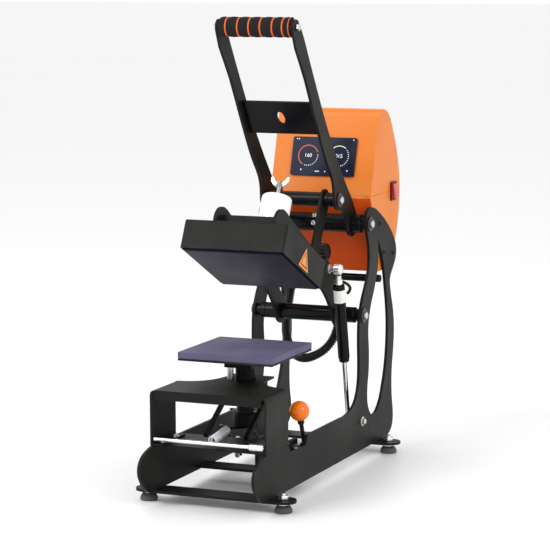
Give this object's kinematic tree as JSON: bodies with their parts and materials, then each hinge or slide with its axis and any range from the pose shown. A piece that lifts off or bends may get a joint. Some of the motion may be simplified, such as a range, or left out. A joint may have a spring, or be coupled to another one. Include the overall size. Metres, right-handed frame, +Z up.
{
  "type": "clamshell heat press",
  "caption": "Small clamshell heat press with a square lift-off platen, tilting heated head, linked pull handle, gas strut and angled control box.",
  "frame": {"origin": "on the bench, below the middle of the machine's box", "axes": "+X to the operator's right, +Y away from the operator, +Z up"},
  "size_m": [0.25, 0.6109, 0.695],
  "materials": {
    "frame_coat": "fine-textured black powder coat",
    "shaft_coat": "satin black enamel on steel tube",
    "foot_rubber": "black rubber with a zinc stud",
    "zinc_hardware": "bright zinc plate",
    "box_paint": "satin orange powder coat",
    "screen": "glossy touch screen",
    "board": "green solder mask",
    "black_plastic": "moulded black nylon",
    "conduit": "corrugated black nylon",
    "hub_white": "white enamelled cap",
    "heater_coating": "dark non-stick coating on cast aluminium",
    "insulation": "pressed mineral board",
    "grip_foam": "black foam with orange rings",
    "strut_chrome": "hard chrome rod",
    "strut_black": "gloss black cylinder",
    "pad_silicone": "matt purple-grey silicone sponge",
    "lever_orange": "glossy orange phenolic ball",
    "switch_red": "translucent red rocker"
  },
  "bodies": {
    "base": {"left_side_plate": "frame_coat", "right_side_plate": "frame_coat", "table_bridge": "frame_coat", "deck_plate": "frame_coat", "front_foot_bar": "frame_coat", "rear_foot_bar": "frame_coat", "mid_crossbar": "frame_coat", "foot_front_left": "foot_rubber", "foot_front_right": "foot_rubber", "foot_rear_left": "foot_rubber", "foot_rear_right": "foot_rubber", "arm_hinge_shaft": "shaft_coat", "handle_pivot_shaft": "shaft_coat", "arm_hinge_bolt_left": "zinc_hardware", "arm_hinge_bolt_right": "zinc_hardware", "handle_pivot_bolt_left": "zinc_hardware", "handle_pivot_bolt_right": "zinc_hardware", "rear_tie_rod": "shaft_coat", "spring_anchor_rod": "zinc_hardware", "platen_socket": "frame_coat", "control_box_upper": "box_paint", "control_box_lower": "box_paint", "display_screen": "screen", "circuit_board": "board", "switch_frame": "black_plastic", "power_inlet": "black_plastic", "strut_lower_pin": "zinc_hardware", "heater_conduit": "conduit", "release_spring": "zinc_hardware"},
    "head": {"left_head_arm": "frame_coat", "right_head_arm": "frame_coat", "head_cross_plate": "frame_coat", "hub_saddle": "frame_coat", "pressure_hub": "hub_white", "heater_housing": "frame_coat", "heater_plate": "heater_coating", "insulation_board": "insulation", "link_lower_pin": "zinc_hardware", "strut_ball_stud": "zinc_hardware", "gland_bracket": "frame_coat", "head_gland": "black_plastic"},
    "pressure_screw": {"wing_nut": "zinc_hardware"},
    "handle": {"left_handle_arm": "frame_coat", "right_handle_arm": "frame_coat", "handle_cross_plate": "frame_coat", "grip_bar": "zinc_hardware", "foam_grip": "grip_foam", "link_shaft": "shaft_coat"},
    "links": {"left_link_plate": "frame_coat", "right_link_plate": "frame_coat"},
    "gas_rod": {"strut_rod": "strut_chrome"},
    "gas_cylinder": {"strut_cylinder": "strut_black"},
    "platen": {"silicone_pad": "pad_silicone", "lower_platen": "frame_coat", "platen_post": "frame_coat"},
    "release": {"release_shaft": "zinc_hardware", "release_lever": "shaft_coat", "lever_ball": "lever_orange"},
    "bail": {"lock_bail": "zinc_hardware"},
    "rocker": {"power_rocker": "switch_red"}
  },
  "joints": [
    {"name": "head_close", "type": "hinge", "parent": "base", "child": "head", "pos_m": [0, 0.1206, 0.23], "axis": [1, 0, 0], "range_deg": [0, 26.5], "stiffness_Nm_per_rad": 20, "springref_deg": -68.75},
    {"name": "handle_pull", "type": "hinge", "parent": "base", "child": "handle", "pos_m": [0, 0.1486, 0.3695], "axis": [1, 0, 0], "range_deg": [0, 46]},
    {"name": "link_swing", "type": "hinge", "parent": "handle", "child": "links", "pos_m": [0, 0.0911, 0.4115], "axis": [1, 0, 0], "range_deg": [-53.8, 0]},
    {"name": "strut_swing", "type": "hinge", "parent": "base", "child": "gas_rod", "pos_m": [0.068, 0.1156, 0.064], "axis": [1, 0, 0], "range_deg": [0, 8.75]},
    {"name": "strut_travel", "type": "slide", "parent": "gas_rod", "child": "gas_cylinder", "axis": [0, 0.1808, -0.9835], "range_m": [0, 0.02195]},
    {"name": "pressure_turn", "type": "hinge", "parent": "head", "child": "pressure_screw", "pos_m": [0, -0.00336, 0.42422], "axis": [0, 0.4462, 0.8949], "range_deg": [-180, 180]},
    {"name": "platen_lift", "type": "slide", "parent": "base", "child": "platen", "axis": [0, 0, -1], "range_m": [-0.075, 0]},
    {"name": "release_pull", "type": "hinge", "parent": "base", "child": "release", "pos_m": [0, -0.0924, 0.062], "axis": [1, 0, 0], "range_deg": [0, 35], "stiffness_Nm_per_rad": 0.5, "springref_deg": -22.92},
    {"name": "bail_travel", "type": "slide", "parent": "base", "child": "bail", "axis": [0, 1, 0], "range_m": [0, 0.00976]},
    {"name": "power_switch", "type": "hinge", "parent": "base", "child": "rocker", "pos_m": [0.0865, 0.2666, 0.41], "axis": [0, 1, 0], "range_deg": [0, 14]}
  ],
  "couplings": [
    {"joint": "handle_pull", "follows": "head_close", "ratio": 1.7358},
    {"joint": "link_swing", "follows": "head_close", "ratio": -2.0265},
    {"joint": "strut_swing", "follows": "head_close", "ratio": 0.32987},
    {"joint": "strut_travel", "follows": "head_close", "m_per_rad": 0.04735},
    {"joint": "bail_travel", "follows": "release_pull", "m_per_rad": 0.01596}
  ]
}
